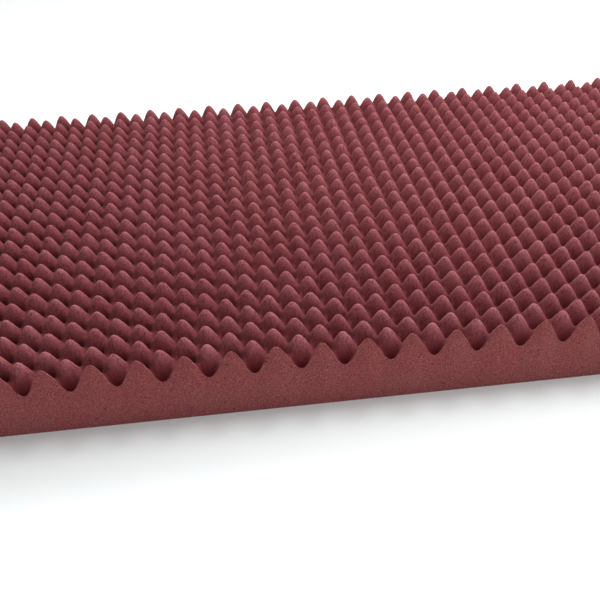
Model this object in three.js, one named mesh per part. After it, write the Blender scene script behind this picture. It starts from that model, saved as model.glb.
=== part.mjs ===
// Convoluted foam mattress pad: one sheet of polyurethane foam with an egg-crate
// top, cut square on all four sides. Millimetres, +Z up, origin at the centre of
// the flat underside. The front cut faces -Y, and all four cuts pass through the
// tips of a row of bumps.
import * as THREE from 'three';

// Driving dimensions
const pitchAcross = 33; // peak to peak along the front cut
const pitchDeep = 21; // peak to peak from the front cut to the back cut
const bumpsAcross = 23; // pitches between the left and the right cut
const bumpsDeep = 21; // pitches between the front and the back cut
const padThickness = 60; // underside to the tips of the bumps
const reliefDepth = 23; // tips of the bumps to the bottoms of the pits
const saddleDrop = 0.56; // sag of the ridge between two bumps, as a share of the relief
const cutSteps = 4; // straight pieces in each flank along a cut edge
const foamColour = 0x85424a;

// The sheet is laid out in cells of half a pitch each way. Their corners are peaks
// and pits in turn, as on a chessboard, and the middle of each cell is a saddle.
const cellAcross = pitchAcross / 2;
const cellDeep = pitchDeep / 2;
const cellsAcross = bumpsAcross * 2;
const cellsDeep = bumpsDeep * 2;

// Heights as shares of the relief: one wave makes bumps and pits, and the next two
// set the saddles and keep the middle of each flank halfway down.
const saddleWave = (saddleDrop - 0.5) / 2;
const flankWave = -saddleWave / 2;
const meanLevel = -0.5 - saddleWave - flankWave;

// Height of the foam above the underside, a and b counted in cells from the front
// left corner.
function foamHeight(a, b) {
  const across = Math.PI * a;
  const along = Math.PI * b;
  const bumps = 0.5 * Math.cos(across) * Math.cos(along);
  const saddles = saddleWave * (Math.cos(2 * across) + Math.cos(2 * along)) / 2;
  const flanks = flankWave * Math.cos(2 * across) * Math.cos(2 * along);
  return padThickness + reliefDepth * (meanLevel + bumps + saddles + flanks);
}

// Vertices are shared, so that the faces close into one body.
const positions = [];
const faces = [];
const vertexNumbers = new Map();

function vertex(a, b, height) {
  const key = `${a} ${b} ${height}`;
  if (!vertexNumbers.has(key)) {
    vertexNumbers.set(key, vertexNumbers.size);
    const x = (a - cellsAcross / 2) * cellAcross;
    const y = (b - cellsDeep / 2) * cellDeep;
    positions.push(x, y, height);
  }
  return vertexNumbers.get(key);
}

function topVertex(a, b) {
  return vertex(a, b, foamHeight(a, b));
}

// An edge of a cell lies on a cut when both its ends are on the same side of the sheet.
function isCut(from, to) {
  const acrossEnd = from[0] === to[0] && (from[0] === 0 || from[0] === cellsAcross);
  const alongEnd = from[1] === to[1] && (from[1] === 0 || from[1] === cellsDeep);
  return acrossEnd || alongEnd;
}

// Top vertices along one edge of a cell, closer together on a cut, where the
// outline of the bumps shows.
function rimVertices(from, to) {
  const steps = isCut(from, to) ? cutSteps : 1;
  return Array.from({ length: steps + 1 }, (unused, step) => {
    const share = step / steps;
    return topVertex(from[0] + (to[0] - from[0]) * share, from[1] + (to[1] - from[1]) * share);
  });
}

// The cut face under one edge of a cell, and the slice of the underside behind it
function addWall(from, to, rim) {
  const baseFrom = vertex(from[0], from[1], 0);
  const baseTo = vertex(to[0], to[1], 0);
  const baseMiddle = vertex(cellsAcross / 2, cellsDeep / 2, 0);
  faces.push(baseFrom, baseTo, rim[rim.length - 1]);
  for (let step = 1; step < rim.length; step += 1) {
    faces.push(baseFrom, rim[step], rim[step - 1]);
  }
  faces.push(baseMiddle, baseTo, baseFrom);
}

// The top of one cell, as a fan of faces round its saddle
function addCell(a, b) {
  const corners = [[a, b], [a + 1, b], [a + 1, b + 1], [a, b + 1]];
  const saddle = topVertex(a + 0.5, b + 0.5);
  corners.forEach((from, side) => {
    const to = corners[(side + 1) % corners.length];
    const rim = rimVertices(from, to);
    for (let step = 1; step < rim.length; step += 1) {
      faces.push(rim[step - 1], rim[step], saddle);
    }
    if (isCut(from, to)) {
      addWall(from, to, rim);
    }
  });
}

function padGeometry() {
  for (let b = 0; b < cellsDeep; b += 1) {
    for (let a = 0; a < cellsAcross; a += 1) {
      addCell(a, b);
    }
  }
  const geometry = new THREE.BufferGeometry();
  geometry.setAttribute('position', new THREE.Float32BufferAttribute(positions, 3));
  geometry.setIndex(faces);
  return geometry;
}

const foam = new THREE.MeshStandardMaterial({
  color: foamColour,
  roughness: 0.95,
  metalness: 0,
  flatShading: true,
});

const foamPad = new THREE.Mesh(padGeometry(), foam);
foamPad.name = 'foam_pad';

const pad = new THREE.Group();
pad.add(foamPad);

export default pad;
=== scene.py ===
"""Looks of a convoluted foam mattress pad: wine-red egg-crate foam with its cut side in front.

The pad is one sheet of open-cell polyurethane foam. Its top was profile-cut into rounded
bumps and pits, and its four sides and its underside were sawn flat, so every surface shows
opened cells. All sizes are in metres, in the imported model's frame.
"""

import logging
from dataclasses import dataclass, field
from enum import Enum
from math import cos, radians, sin

import bpy
import numpy as np
from mathutils import Matrix, Vector


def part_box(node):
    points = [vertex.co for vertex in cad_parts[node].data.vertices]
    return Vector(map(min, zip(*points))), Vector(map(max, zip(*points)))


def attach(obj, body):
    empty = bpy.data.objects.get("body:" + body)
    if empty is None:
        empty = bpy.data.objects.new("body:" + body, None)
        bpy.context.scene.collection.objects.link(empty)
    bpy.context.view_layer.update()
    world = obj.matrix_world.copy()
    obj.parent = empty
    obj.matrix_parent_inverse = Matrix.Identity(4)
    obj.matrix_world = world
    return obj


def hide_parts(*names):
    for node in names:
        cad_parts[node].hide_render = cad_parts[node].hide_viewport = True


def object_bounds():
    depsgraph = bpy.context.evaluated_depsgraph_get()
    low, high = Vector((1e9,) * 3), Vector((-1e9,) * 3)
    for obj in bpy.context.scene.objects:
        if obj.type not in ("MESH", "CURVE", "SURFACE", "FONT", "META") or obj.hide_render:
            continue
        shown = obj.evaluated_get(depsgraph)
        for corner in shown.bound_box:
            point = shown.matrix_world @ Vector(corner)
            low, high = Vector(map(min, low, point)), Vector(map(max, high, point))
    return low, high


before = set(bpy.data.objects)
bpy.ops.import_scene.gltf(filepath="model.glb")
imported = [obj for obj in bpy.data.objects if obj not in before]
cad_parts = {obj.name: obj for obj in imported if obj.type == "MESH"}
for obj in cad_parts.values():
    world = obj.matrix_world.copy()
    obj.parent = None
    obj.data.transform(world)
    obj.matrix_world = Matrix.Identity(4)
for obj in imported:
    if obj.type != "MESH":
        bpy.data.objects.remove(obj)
CAD_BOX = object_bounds()

MM = 0.001
PAD_NODE = "foam_pad"
PAD_BODY = "root"
PHOTO_SIDE_PX = 600
# A point this near a plane counts as lying in it
TOUCHING = 0.01 * MM
# Keeps a point on the corner of a cell inside that cell when its place is rounded down
ROUNDING = 1e-9
# Blender's noise seldom leaves these values, so a pattern spans its whole range over them
NOISE_SPAN = (0.3, 0.7)

log = logging.getLogger("foam_pad")


class Cut(Enum):
    """How a surface of the foam was cut, as the index of its material on the pad."""

    CONVOLUTED = 0
    SAWN = 1


def linear_colour(hex_colour: str) -> tuple[float, float, float, float]:
    """Turns an sRGB hex colour into linear values.

    Args:
        hex_colour: the colour as six hex digits, with a leading number sign.

    Returns:
        Red, green, blue and alpha, linear.
    """
    digits = hex_colour.lstrip("#")
    shares = [int(digits[start:start + 2], 16) / 255 for start in (0, 2, 4)]
    linear = [s / 12.92 if s <= 0.04045 else ((s + 0.055) / 1.055) ** 2.4 for s in shares]
    return (linear[0], linear[1], linear[2], 1.0)


def add_node(tree: bpy.types.NodeTree, kind: str, settings: dict | None = None,
             inputs: dict | None = None) -> bpy.types.Node:
    """Adds one shader node with its settings and links.

    Args:
        tree: the node tree that gets the node.
        kind: the node's type name.
        settings: the node's own properties, by name.
        inputs: values or output sockets for the node's inputs, by name or number.

    Returns:
        The new node.
    """
    node = tree.nodes.new(kind)
    for name, value in (settings or {}).items():
        setattr(node, name, value)
    for name, value in (inputs or {}).items():
        if isinstance(value, bpy.types.NodeSocket):
            tree.links.new(value, node.inputs[name])
        else:
            node.inputs[name].default_value = value
    return node


def deselect_all() -> None:
    """Deselects every object, so that the next operator acts on its own piece alone."""
    bpy.ops.object.select_all(action="DESELECT")


def read_rows(items: bpy.types.bpy_prop_collection, name: str, width: int,
              number: type = float) -> np.ndarray:
    """Reads one property of all vertices, edges or faces of a mesh.

    Args:
        items: the mesh's vertices, edges or faces.
        name: the property's name.
        width: how many numbers the property has.
        number: the numbers' type.

    Returns:
        One row of numbers for each item.
    """
    rows = np.empty(len(items) * width, dtype=number)
    items.foreach_get(name, rows)
    return rows.reshape(-1, width)


def eased(share: np.ndarray) -> np.ndarray:
    """Bends shares from 0 to 1 so that they start and end level."""
    return share * share * (3 - 2 * share)


@dataclass(frozen=True)
class OpenCellFoam:
    """Dyed open-cell polyurethane foam, cut by a blade so that its cells stand open.

    To the eye it is dull and dense in colour. The opened cells are dark specks, the struts
    between them catch light as pale specks, and the fuzz of broken struts gives a soft pale
    rim where the surface turns away.
    """

    name: str
    foam_hex: str
    pore_hex: str
    strut_hex: str
    pore_depth: float
    strut_gain: float
    bump_strength: float
    sheen: float
    # Heights over the underside of the tips of the bumps and the bottoms of the pits
    tip_height: float
    pit_height: float
    # Painted shade: the colour sinks darker and redder from the tips down to the pits, where
    # little light gets in, given as layers of a tint and its share at the bottom of the pits
    painted_pit_shade: tuple[tuple[str, float], ...] = ()
    # How much of the fuzz still shows at the bottom of the pits; taking it out there is painted
    # shade
    pit_sheen: float = 1.0
    # The knife leaves faint dark streaks that run down the flanks
    streak_depth: float = 0.0
    streak_mm: float = 1.6
    streak_flatness: float = 0.12
    streak_span: tuple[float, float] = (0.5, 0.8)
    # Real cells are about 0.5 mm wide. They are drawn at up to three times that, which is
    # the finest that still shows as specks in the render.
    cell_mm: float = 0.8
    pore_mm: float = 1.4
    pore_radius_mm: float = 0.54
    glint_mm: float = 2.3
    glint_radius_mm: float = 0.6
    large_pore_mm: float = 8.0
    large_pore_radius_mm: float = 1.0
    cell_relief_mm: float = 0.6
    # The dye takes unevenly, in soft clouds of a deeper red
    cloud_mm: float = 45.0
    cloud_hex: str = "#8A2F36"
    cloud_share: float = 0.4
    roughness: float = 0.95
    ior: float = 1.45
    specular: float = 0.12
    sheen_roughness: float = 0.6
    sheen_hex: str = "#F2C0C4"

    def build(self) -> bpy.types.Material:
        """Makes the material.

        Returns:
            The foam's material, patterned on the piece's own coordinates.
        """
        material = bpy.data.materials.new(self.name)
        material.use_nodes = True
        tree = material.node_tree
        tree.nodes.clear()
        place = add_node(tree, "ShaderNodeTexCoord").outputs["Object"]
        cells = self._cells(tree, place)
        small = self._pores(tree, place, self.pore_mm, self.pore_radius_mm)
        large = self._pores(tree, place, self.large_pore_mm, self.large_pore_radius_mm)
        pores = add_node(tree, "ShaderNodeMath", {"operation": "MAXIMUM"},
                         {0: small, 1: large}).outputs[0]
        colour = self._colour(tree, place, cells, pores)
        height = add_node(tree, "ShaderNodeMath", {"operation": "SUBTRACT"},
                          {0: cells, 1: pores}).outputs[0]
        relief = add_node(tree, "ShaderNodeBump", None, {
            "Strength": self.bump_strength, "Distance": self.cell_relief_mm * MM,
            "Height": height})
        foam = add_node(tree, "ShaderNodeBsdfPrincipled", None, {
            "Base Color": colour, "Roughness": self.roughness, "IOR": self.ior,
            "Specular IOR Level": self.specular, "Sheen Weight": self._fuzz(tree, place),
            "Sheen Roughness": self.sheen_roughness,
            "Sheen Tint": linear_colour(self.sheen_hex), "Normal": relief.outputs["Normal"]})
        add_node(tree, "ShaderNodeOutputMaterial", None, {"Surface": foam.outputs["BSDF"]})
        return material

    def _fuzz(self, tree: bpy.types.NodeTree,
              place: bpy.types.NodeSocket) -> bpy.types.NodeSocket | float:
        """Gives the weight of the fuzz, which is taken out towards the pits as painted shade.

        Args:
            tree: the material's node tree.
            place: the socket with the place on the piece.

        Returns:
            One value where the fuzz is even, else a socket.
        """
        if self.pit_sheen == 1.0:
            return self.sheen
        return self._depth(tree, place, self.sheen, self.sheen * self.pit_sheen)

    def _cells(self, tree: bpy.types.NodeTree,
               place: bpy.types.NodeSocket) -> bpy.types.NodeSocket:
        """Draws the cell structure.

        Args:
            tree: the material's node tree.
            place: the socket with the place on the piece.

        Returns:
            A socket that is 0 in an opened cell and 1 on the struts between cells.
        """
        speckle = add_node(tree, "ShaderNodeTexNoise", {"noise_dimensions": "3D"}, {
            "Vector": place, "Scale": 1 / (self.cell_mm * MM), "Detail": 1.0,
            "Roughness": 0.6})
        return add_node(tree, "ShaderNodeMapRange", {"interpolation_type": "SMOOTHSTEP"}, {
            "Value": speckle.outputs["Fac"], "From Min": NOISE_SPAN[0],
            "From Max": NOISE_SPAN[1]}).outputs[0]

    def _depth(self, tree: bpy.types.NodeTree, place: bpy.types.NodeSocket,
               at_tip: float, at_pit: float) -> bpy.types.NodeSocket:
        """Gives a value that changes evenly from the tips down to the pits.

        Args:
            tree: the material's node tree.
            place: the socket with the place on the piece.
            at_tip: the value at the tips of the bumps.
            at_pit: the value at the bottoms of the pits, and below them.

        Returns:
            The socket with the value.
        """
        height = add_node(tree, "ShaderNodeSeparateXYZ", None, {"Vector": place}).outputs["Z"]
        return add_node(tree, "ShaderNodeMapRange", None, {
            "Value": height, "From Min": self.tip_height, "From Max": self.pit_height,
            "To Min": at_tip, "To Max": at_pit}).outputs[0]

    def _pores(self, tree: bpy.types.NodeTree, place: bpy.types.NodeSocket,
               spacing_mm: float, radius_mm: float) -> bpy.types.NodeSocket:
        """Draws opened cells that stand apart as dots.

        Args:
            tree: the material's node tree.
            place: the socket with the place on the piece.
            spacing_mm: how far apart the dots are, about.
            radius_mm: how large the dots are.

        Returns:
            A socket that is 1 in the middle of a dot and 0 outside it.
        """
        spots = add_node(tree, "ShaderNodeTexVoronoi", {"feature": "F1"}, {
            "Vector": place, "Scale": 1 / (spacing_mm * MM), "Randomness": 1.0})
        reach = radius_mm / spacing_mm
        return add_node(tree, "ShaderNodeMapRange", {"interpolation_type": "SMOOTHSTEP"}, {
            "Value": spots.outputs["Distance"], "From Min": reach, "From Max": reach / 3,
        }).outputs[0]

    def _clouds(self, tree: bpy.types.NodeTree,
                place: bpy.types.NodeSocket) -> bpy.types.NodeSocket:
        """Draws where the dye took deeper.

        Args:
            tree: the material's node tree.
            place: the socket with the place on the piece.

        Returns:
            The socket with the share of the deeper red.
        """
        clouds = add_node(tree, "ShaderNodeTexNoise", {"noise_dimensions": "3D"}, {
            "Vector": place, "Scale": 1 / (self.cloud_mm * MM), "Detail": 3.0})
        return add_node(tree, "ShaderNodeMapRange", None, {
            "Value": clouds.outputs["Fac"], "From Min": NOISE_SPAN[0],
            "From Max": NOISE_SPAN[1], "To Max": self.cloud_share}).outputs[0]

    def _streaks(self, tree: bpy.types.NodeTree,
                 place: bpy.types.NodeSocket) -> bpy.types.NodeSocket:
        """Draws the knife's streaks.

        Args:
            tree: the material's node tree.
            place: the socket with the place on the piece.

        Returns:
            The socket with the share of the pore's colour.
        """
        stretched = add_node(tree, "ShaderNodeMapping", None, {
            "Vector": place, "Scale": (1.0, 1.0, self.streak_flatness)}).outputs[0]
        grooves = add_node(tree, "ShaderNodeTexNoise", {"noise_dimensions": "3D"}, {
            "Vector": stretched, "Scale": 1 / (self.streak_mm * MM), "Detail": 2.0})
        return add_node(tree, "ShaderNodeMapRange", None, {
            "Value": grooves.outputs["Fac"], "From Min": self.streak_span[0],
            "From Max": self.streak_span[1], "To Max": self.streak_depth}).outputs[0]

    def _colour(self, tree: bpy.types.NodeTree, place: bpy.types.NodeSocket,
                cells: bpy.types.NodeSocket,
                pores: bpy.types.NodeSocket) -> bpy.types.NodeSocket:
        """Lays the clouds, struts, streaks, pores and shaded pits over the dyed foam.

        Args:
            tree: the material's node tree.
            place: the socket with the place on the piece.
            cells: the socket with the cell structure.
            pores: the socket with the dark dots.

        Returns:
            The socket with the colour.
        """
        dark = add_node(tree, "ShaderNodeMath", {"operation": "MULTIPLY"}, {
            0: pores, 1: self.pore_depth}).outputs[0]
        struts = add_node(tree, "ShaderNodeMapRange", None, {
            "Value": cells, "From Min": 0.5, "From Max": 1.0,
            "To Max": self.strut_gain}).outputs[0]
        glints = add_node(tree, "ShaderNodeMath", {"operation": "MULTIPLY"}, {
            0: self._pores(tree, place, self.glint_mm, self.glint_radius_mm),
            1: 2 * self.strut_gain}).outputs[0]
        layers = [(self._clouds(tree, place), self.cloud_hex), (struts, self.strut_hex),
                  (glints, self.strut_hex), (self._streaks(tree, place), self.pore_hex),
                  (dark, self.pore_hex)]
        # Painted shade: darker and redder towards the pits
        layers += [(self._depth(tree, place, 0.0, share), tint)
                   for tint, share in self.painted_pit_shade]
        colour: bpy.types.NodeSocket | tuple = linear_colour(self.foam_hex)
        for share, tint in layers:
            colour = add_node(tree, "ShaderNodeMix", {"data_type": "RGBA"}, {
                "Factor": share, 6: colour, 7: linear_colour(tint)}).outputs[2]
        return colour


@dataclass
class FoamPad:
    """The sheet of egg-crate foam: one filled piece, with its sizes read from the frame."""

    pitch_across: float = 33 * MM
    pitch_deep: float = 21 * MM
    relief_depth: float = 23 * MM
    # Sag of the ridge between two bumps, as a share of the relief
    saddle_drop: float = 0.56
    # The ridges that run towards the front right lie higher than those that cross them
    ridge_twist: float = 0.05
    steps_across: int = 6
    steps_deep: int = 7
    # Share by which the grid's lines crowd towards peaks and pits, where the form curves
    crowding: float = 0.3
    # The bumps lean a little to the left, as foam does that was wound up after cutting
    lean: float = 0.03
    # Each bump is a little out of its place, as the cutting rollers leave it
    stray_across: float = 0.9 * MM
    stray_height: float = 0.7 * MM
    stray_seed: int = 11
    rim_round: float = 0.6 * MM
    rim_segments: int = 2
    smooth_angle: float = 70.0
    low: Vector = field(default_factory=lambda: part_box(PAD_NODE)[0])
    high: Vector = field(default_factory=lambda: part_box(PAD_NODE)[1])

    def __post_init__(self) -> None:
        """Works out the cells of half a pitch, with a peak or a pit at each corner."""
        self.cells_across = round((self.high.x - self.low.x) / self.pitch_across * 2)
        self.cells_deep = round((self.high.y - self.low.y) / self.pitch_deep * 2)

    def build(self) -> bpy.types.Object:
        """Makes the pad and dresses it.

        Returns:
            The finished pad.
        """
        pad = self._grid()
        self._raise_bumps(pad)
        self._add_cut_sides(pad)
        self._round_rims(pad)
        self._dress(pad)
        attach(pad, PAD_BODY)
        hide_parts(PAD_NODE)
        return pad

    def _grid(self) -> bpy.types.Object:
        """Adds the flat grid that becomes the top.

        Returns:
            The grid, one metre wide and deep.
        """
        deselect_all()
        bpy.ops.mesh.primitive_grid_add(
            x_subdivisions=self.cells_across * self.steps_across,
            y_subdivisions=self.cells_deep * self.steps_deep, size=1)
        pad = bpy.context.object
        pad.name = "egg_crate_foam"
        return pad

    def _raise_bumps(self, pad: bpy.types.Object) -> None:
        """Moves each point of the grid to its place on the bumps and pits.

        Args:
            pad: the flat grid.
        """
        points = read_rows(pad.data.vertices, "co", 3)
        a = self._crowded((points[:, 0] + 0.5) * self.cells_across)
        b = self._crowded((points[:, 1] + 0.5) * self.cells_deep)
        height = self._height(a, b)
        stray_x, stray_y, stray_z = self._strays(a, b)
        inside_x = self._inside(a, self.cells_across)
        inside_y = self._inside(b, self.cells_deep)
        tilt = self.lean * (height - self.high.z + self.relief_depth)
        points[:, 0] = self.low.x + a * self.pitch_across / 2 + inside_x * (stray_x - tilt)
        points[:, 1] = self.low.y + b * self.pitch_deep / 2 + inside_y * stray_y
        points[:, 2] = height + stray_z
        pad.data.vertices.foreach_set("co", points.ravel())
        pad.data.update()

    def _crowded(self, place: np.ndarray) -> np.ndarray:
        """Shifts grid lines, counted in cells, towards the cells' corners."""
        return place - self.crowding * np.sin(2 * np.pi * place) / (2 * np.pi)

    def _inside(self, place: np.ndarray, cells: int) -> np.ndarray:
        """Gives 0 on a cut side and 1 from half a cell inwards, to keep the cuts flat."""
        return np.clip(2 * np.minimum(place, cells - place), 0, 1)

    def _height(self, a: np.ndarray, b: np.ndarray) -> np.ndarray:
        """Works out the foam's height over the underside.

        One wave makes bumps and pits. The next two set the saddles between them and keep
        the middle of each flank halfway down.

        Args:
            a: places across the sheet, counted in cells.
            b: places along the sheet, counted in cells.

        Returns:
            The heights, in metres.
        """
        saddle_wave = (self.saddle_drop - 0.5) / 2
        flank_wave = -saddle_wave / 2
        mean_level = -0.5 - saddle_wave - flank_wave
        across, along = np.pi * a, np.pi * b
        share = (mean_level + 0.5 * np.cos(across) * np.cos(along)
                 + saddle_wave * (np.cos(2 * across) + np.cos(2 * along)) / 2
                 + flank_wave * np.cos(2 * across) * np.cos(2 * along)
                 - self.ridge_twist * np.sin(across) * np.sin(along))
        return self.high.z + self.relief_depth * share

    def _strays(self, a: np.ndarray, b: np.ndarray) -> tuple[np.ndarray, ...]:
        """Blends a small random shift of each peak and pit over the cells between them.

        Args:
            a: places across the sheet, counted in cells.
            b: places along the sheet, counted in cells.

        Returns:
            The shifts across, along and upwards, in metres.
        """
        random = np.random.default_rng(self.stray_seed)
        shape = (3, self.cells_across + 2, self.cells_deep + 2)
        corners = random.uniform(-1, 1, shape)
        corners[2] = -np.abs(corners[2])
        i, j = np.floor(a + ROUNDING).astype(int), np.floor(b + ROUNDING).astype(int)
        u, v = eased(a - i), eased(b - j)
        blend = (corners[:, i, j] * (1 - u) * (1 - v) + corners[:, i + 1, j] * u * (1 - v)
                 + corners[:, i, j + 1] * (1 - u) * v + corners[:, i + 1, j + 1] * u * v)
        return (self.stray_across * blend[0], self.stray_across * blend[1],
                self.stray_height * blend[2])

    def _add_cut_sides(self, pad: bpy.types.Object) -> None:
        """Draws the rim down to the underside and closes it there.

        Args:
            pad: the open sheet with its bumps. Not used: the edits act on the active object.
        """
        bpy.ops.object.mode_set(mode="EDIT")
        bpy.ops.mesh.select_all(action="DESELECT")
        bpy.ops.mesh.select_mode(type="EDGE")
        bpy.ops.mesh.select_non_manifold()
        bpy.ops.mesh.extrude_edges_move()
        bpy.ops.transform.resize(value=(1, 1, 0), center_override=(0, 0, self.low.z))
        bpy.ops.mesh.edge_face_add()
        bpy.ops.mesh.select_all(action="SELECT")
        bpy.ops.mesh.normals_make_consistent(inside=False)
        bpy.ops.object.mode_set(mode="OBJECT")

    def _round_rims(self, pad: bpy.types.Object) -> None:
        """Breaks the sharp edges of the cuts and smooths the rest.

        Args:
            pad: the closed sheet.
        """
        weights = pad.data.attributes.new("bevel_weight_edge", "FLOAT", "EDGE")
        weights.data.foreach_set("value", self._rim_edges(pad).astype(float))
        rims = pad.modifiers.new("rims", "BEVEL")
        rims.width = self.rim_round
        rims.segments = self.rim_segments
        rims.limit_method = "WEIGHT"
        bpy.ops.object.modifier_apply(modifier=rims.name)
        bpy.ops.object.shade_smooth_by_angle(angle=radians(self.smooth_angle))

    def _rim_edges(self, pad: bpy.types.Object) -> np.ndarray:
        """Finds the edges round each cut side.

        Args:
            pad: the closed sheet, before its edges are rounded.

        Returns:
            True for each edge along the rim, round the underside and down a corner.
        """
        points = read_rows(pad.data.vertices, "co", 3)
        ends = read_rows(pad.data.edges, "vertices", 2, np.int32)
        low, high = np.array(self.low), np.array(self.high)
        on_side = (abs(points - low) < TOUCHING) | (abs(points - high) < TOUCHING)
        cuts = on_side[:, :2].sum(axis=1)[ends]
        at_base = (points[:, 2] < low[2] + TOUCHING)[ends]
        level = (cuts > 0).all(axis=1) & (at_base[:, 0] == at_base[:, 1])
        return level | (cuts == 2).all(axis=1)

    def _finish(self, cut: Cut) -> OpenCellFoam:
        """Chooses how the foam looks where it was cut in this way.

        Args:
            cut: how the surface was cut.

        Returns:
            The finish, with its heights worked out from the pad.
        """
        heights = {"tip_height": self.high.z, "pit_height": self.high.z - self.relief_depth}
        if cut is Cut.SAWN:
            # The sawn sides wear the foam's own red made darker: painted shade, as the upright
            # cuts take less light than the tops of the bumps
            return OpenCellFoam(
                "sawn_polyurethane_foam_with_painted_shade", "#874544", "#38100F", "#B67676",
                pore_depth=0.85, strut_gain=0.35, bump_strength=0.45, sheen=0.12, **heights)
        # The bumps darken and redden towards the pits as painted shade, and lose their fuzz
        # there too
        return OpenCellFoam(
            "profile_cut_polyurethane_foam_with_painted_shade", "#AA656B", "#4A1518", "#CC9498",
            pore_depth=0.6, strut_gain=0.3, bump_strength=0.4, sheen=0.22, **heights,
            painted_pit_shade=(("#8C2A30", 0.95), ("#300003", 0.95)), pit_sheen=0.0,
            streak_depth=0.8)

    def _dress(self, pad: bpy.types.Object) -> None:
        """Gives the bumps and the sawn faces their finishes.

        Args:
            pad: the finished shape.
        """
        for cut in Cut:
            pad.data.materials.append(self._finish(cut).build())
        centres = read_rows(pad.data.polygons, "center", 3)
        low, high = np.array(self.low), np.array(self.high)
        to_cut = np.minimum(centres - low, high - centres)[:, :2].min(axis=1)
        sawn = (to_cut < self.rim_round) | (centres[:, 2] < self.rim_round)
        slots = np.where(sawn, Cut.SAWN.value, Cut.CONVOLUTED.value)
        pad.data.polygons.foreach_set("material_index", slots)
        pad.data.update()


@dataclass(frozen=True)
class SoftLight:
    """One softbox: a rectangle of light that points at the middle of the pad."""

    name: str
    azimuth: float
    elevation: float
    power: float
    width: float = 0.9
    depth: float = 0.9
    distance: float = 1.8

    def build(self) -> bpy.types.Object:
        """Adds the light.

        Returns:
            The light's object.
        """
        turn, rise = radians(self.azimuth), radians(self.elevation)
        place = self.distance * Vector((sin(turn) * cos(rise), cos(turn) * cos(rise), sin(rise)))
        deselect_all()
        bpy.ops.object.light_add(type="AREA", location=place,
                                 rotation=(-place).to_track_quat("-Z", "Y").to_euler())
        lamp = bpy.context.object
        lamp.name = self.name
        lamp.data.shape = "RECTANGLE"
        lamp.data.size = self.width
        lamp.data.size_y = self.depth
        lamp.data.energy = self.power
        return lamp


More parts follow.
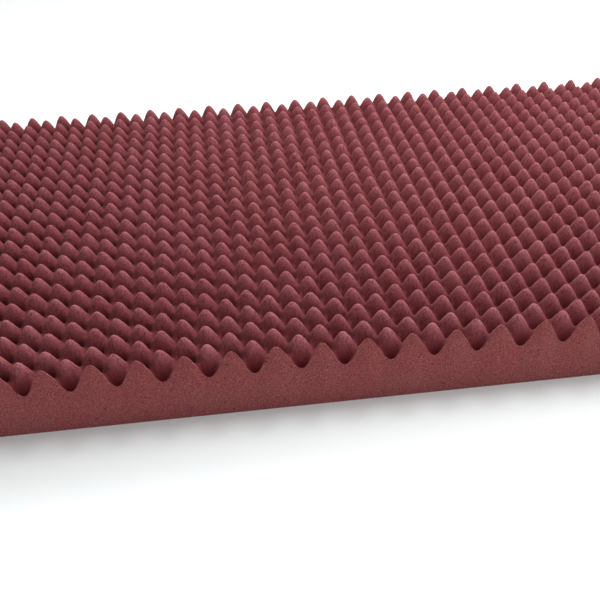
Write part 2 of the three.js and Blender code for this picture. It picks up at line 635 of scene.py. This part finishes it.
@dataclass(frozen=True)
class Studio:
    """The plain pale floor, the soft light and the camera."""

    floor_side: float = 14.0
    # The board's faint blue-green is painted: it cancels the pink light that the pad throws onto
    # it
    floor_hex: str = "#DFE3E3"
    floor_roughness: float = 0.9
    floor_specular: float = 0.1
    # The board glows as painted light, faintly near the pad and more away from it, which makes
    # it plain white and paints the soft edge of the pad's shadow
    painted_glow_near: float = 0.05
    painted_glow_far: float = 0.35
    painted_glow_from: float = 40 * MM
    painted_glow_to: float = 110 * MM
    sky_strength: float = 0.07
    camera_place: tuple[float, float, float] = (-0.1143, -0.6667, 0.4303)
    camera_azimuth: float = 6.225
    camera_elevation: float = 36.408
    camera_roll: float = -1.62
    focal_px: float = 815.8
    lights: tuple[SoftLight, ...] = (
        SoftLight("right_low", 86, 26, 9.5, distance=1.3),
        SoftLight("front_right_low", 140, 25, 7.0),
        SoftLight("front_left_low", 225, 25, 5.5),
        SoftLight("right_high", 90, 55, 5.5, distance=1.3),
        SoftLight("over_centre", 90, 80, 2.6, width=0.3, depth=0.3, distance=0.75),
        SoftLight("back_left_high", 315, 55, 9.0),
        SoftLight("back_high", 5, 55, 6.5),
    )

    def build(self) -> None:
        """Makes the floor, the sky, the lights and the camera."""
        bpy.context.scene.view_settings.view_transform = "Standard"
        self._floor()
        self._sky()
        for light in self.lights:
            light.build()
            log.info("light %s, %.1f W", light.name, light.power)
        self._camera()

    def _floor(self) -> None:
        """Adds the table top under the pad."""
        deselect_all()
        bpy.ops.mesh.primitive_plane_add(size=self.floor_side)
        floor = bpy.context.object
        floor.name = "table_top"
        material = bpy.data.materials.new("matt_white_board")
        material.use_nodes = True
        tree = material.node_tree
        surface = tree.nodes["Principled BSDF"]
        surface.inputs["Base Color"].default_value = linear_colour(self.floor_hex)
        surface.inputs["Roughness"].default_value = self.floor_roughness
        surface.inputs["Specular IOR Level"].default_value = self.floor_specular
        surface.inputs["Emission Color"].default_value = linear_colour("#FFFFFF")
        # Painted light: the board glows, more the further it is from the pad
        tree.links.new(self._paint_board_glow(tree), surface.inputs["Emission Strength"])
        floor.data.materials.append(material)

    def _paint_board_glow(self, tree: bpy.types.NodeTree) -> bpy.types.NodeSocket:
        """Works out the floor's painted glow, which grows with the distance from the pad.

        Args:
            tree: the floor's node tree.

        Returns:
            The socket with the strength of the glow.
        """
        place = add_node(tree, "ShaderNodeTexCoord").outputs["Object"]
        away = add_node(tree, "ShaderNodeVectorMath", {"operation": "ABSOLUTE"}, {0: place})
        past = add_node(tree, "ShaderNodeVectorMath", {"operation": "SUBTRACT"}, {
            0: away.outputs[0], 1: CAD_BOX[1]})
        sides = add_node(tree, "ShaderNodeSeparateXYZ", None, {"Vector": past.outputs[0]})
        gap = add_node(tree, "ShaderNodeMath", {"operation": "MAXIMUM"}, {
            0: sides.outputs["X"], 1: sides.outputs["Y"]}).outputs[0]
        return add_node(tree, "ShaderNodeMapRange", {"interpolation_type": "SMOOTHSTEP"}, {
            "Value": gap, "From Min": self.painted_glow_from, "From Max": self.painted_glow_to,
            "To Min": self.painted_glow_near, "To Max": self.painted_glow_far}).outputs[0]

    def _sky(self) -> None:
        """Sets the white surround, which is seen at full strength but lights the pad little."""
        world = bpy.data.worlds.new("white_surround")
        bpy.context.scene.world = world
        world.use_nodes = True
        tree = world.node_tree
        seen = add_node(tree, "ShaderNodeLightPath").outputs["Is Camera Ray"]
        strength = add_node(tree, "ShaderNodeMapRange", None, {
            "Value": seen, "To Min": self.sky_strength, "To Max": 1.0}).outputs[0]
        background = tree.nodes["Background"]
        background.inputs["Color"].default_value = linear_colour("#FFFFFF")
        tree.links.new(strength, background.inputs["Strength"])

    def _camera(self) -> None:
        """Sets the camera at the photograph's place, angle and field of view."""
        turn = (Matrix.Rotation(radians(-self.camera_azimuth), 3, "Z")
                @ Matrix.Rotation(radians(90 - self.camera_elevation), 3, "X")
                @ Matrix.Rotation(radians(self.camera_roll), 3, "Z"))
        deselect_all()
        bpy.ops.object.camera_add(location=self.camera_place, rotation=turn.to_euler())
        camera = bpy.context.object
        camera.name = "product_camera"
        camera.data.lens = self.focal_px / PHOTO_SIDE_PX * camera.data.sensor_width
        bpy.context.scene.camera = camera


def main() -> None:
    """Builds the pad and its studio, and reports each piece."""
    logging.basicConfig(level=logging.INFO, format="%(name)s: %(message)s")
    pad = FoamPad().build()
    pad.data.calc_loop_triangles()
    log.info("piece %s, %d triangles", pad.name, len(pad.data.loop_triangles))
    Studio().build()


if __name__ == "__main__":
    main()
